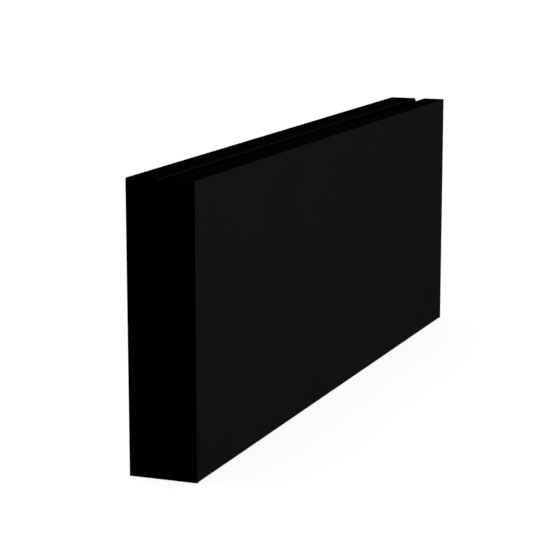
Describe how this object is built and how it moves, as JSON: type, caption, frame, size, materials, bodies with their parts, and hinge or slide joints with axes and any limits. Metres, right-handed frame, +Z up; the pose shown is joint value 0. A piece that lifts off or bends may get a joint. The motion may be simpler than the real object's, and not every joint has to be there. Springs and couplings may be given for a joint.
{
  "type": "kick plate",
  "caption": "Thick box-section kick plate with a slot along its top edge that clamps a glass or infill door panel behind a plain removable facing.",
  "frame": {"origin": "centre of the underside", "axes": "+X along the length, -Y out of the plain front face, +Z up towards the slot"},
  "size_m": [0.5, 0.044, 0.18],
  "materials": {
    "black_coat": "matte",
    "mill_aluminium": "satin",
    "zinc_steel": "satin",
    "black_steel": "satin",
    "gasket_rubber": "matte",
    "clip_nylon": "matte"
  },
  "bodies": {
    "rail": {"rear_rail": "black_coat", "left_end_cap": "black_coat", "right_end_cap": "black_coat", "left_cap_screw_1": "black_steel", "left_cap_screw_2": "black_steel", "left_cap_screw_3": "black_steel", "left_cap_screw_4": "black_steel", "right_cap_screw_1": "black_steel", "right_cap_screw_2": "black_steel", "right_cap_screw_3": "black_steel", "right_cap_screw_4": "black_steel", "rear_gasket_upper": "gasket_rubber", "rear_gasket_lower": "gasket_rubber", "setting_block_left": "gasket_rubber", "setting_block_right": "gasket_rubber"},
    "clamp": {"clamp_plate": "mill_aluminium", "clamp_washer_1": "zinc_steel", "clamp_washer_2": "zinc_steel", "clamp_washer_3": "zinc_steel", "clamp_washer_4": "zinc_steel", "clamp_washer_5": "zinc_steel", "facing_clip_lower_1": "clip_nylon", "facing_clip_lower_2": "clip_nylon", "facing_clip_lower_3": "clip_nylon", "facing_clip_upper_1": "clip_nylon", "facing_clip_upper_2": "clip_nylon", "facing_clip_upper_3": "clip_nylon", "front_gasket_upper": "gasket_rubber", "front_gasket_lower": "gasket_rubber"},
    "facing": {"front_facing": "black_coat"},
    "screw_1": {"clamp_screw_1": "zinc_steel"},
    "screw_2": {"clamp_screw_2": "zinc_steel"},
    "screw_3": {"clamp_screw_3": "zinc_steel"},
    "screw_4": {"clamp_screw_4": "zinc_steel"},
    "screw_5": {"clamp_screw_5": "zinc_steel"}
  },
  "joints": [
    {"name": "clamp_tilt", "type": "hinge", "parent": "rail", "child": "clamp", "pos_m": [0, -0.005, 0.0335], "axis": [1, 0, 0], "range_deg": [0, 0.6]},
    {"name": "facing_pull", "type": "slide", "parent": "clamp", "child": "facing", "axis": [0, -1, 0], "range_m": [0, 0.06]},
    {"name": "screw_1_turn", "type": "hinge", "parent": "clamp", "child": "screw_1", "pos_m": [-0.2, -0.0138, 0.088], "axis": [0, -1, 0], "range_deg": [0, 206]},
    {"name": "screw_2_turn", "type": "hinge", "parent": "clamp", "child": "screw_2", "pos_m": [-0.1, -0.0138, 0.088], "axis": [0, -1, 0], "range_deg": [0, 206]},
    {"name": "screw_3_turn", "type": "hinge", "parent": "clamp", "child": "screw_3", "pos_m": [0, -0.0138, 0.088], "axis": [0, -1, 0], "range_deg": [0, 206]},
    {"name": "screw_4_turn", "type": "hinge", "parent": "clamp", "child": "screw_4", "pos_m": [0.1, -0.0138, 0.088], "axis": [0, -1, 0], "range_deg": [0, 206]},
    {"name": "screw_5_turn", "type": "hinge", "parent": "clamp", "child": "screw_5", "pos_m": [0.2, -0.0138, 0.088], "axis": [0, -1, 0], "range_deg": [0, 206]}
  ],
  "couplings": [
    {"joint": "screw_1_turn", "follows": "clamp_tilt", "ratio": 342.4},
    {"joint": "screw_2_turn", "follows": "clamp_tilt", "ratio": 342.4},
    {"joint": "screw_3_turn", "follows": "clamp_tilt", "ratio": 342.4},
    {"joint": "screw_4_turn", "follows": "clamp_tilt", "ratio": 342.4},
    {"joint": "screw_5_turn", "follows": "clamp_tilt", "ratio": 342.4}
  ]
}
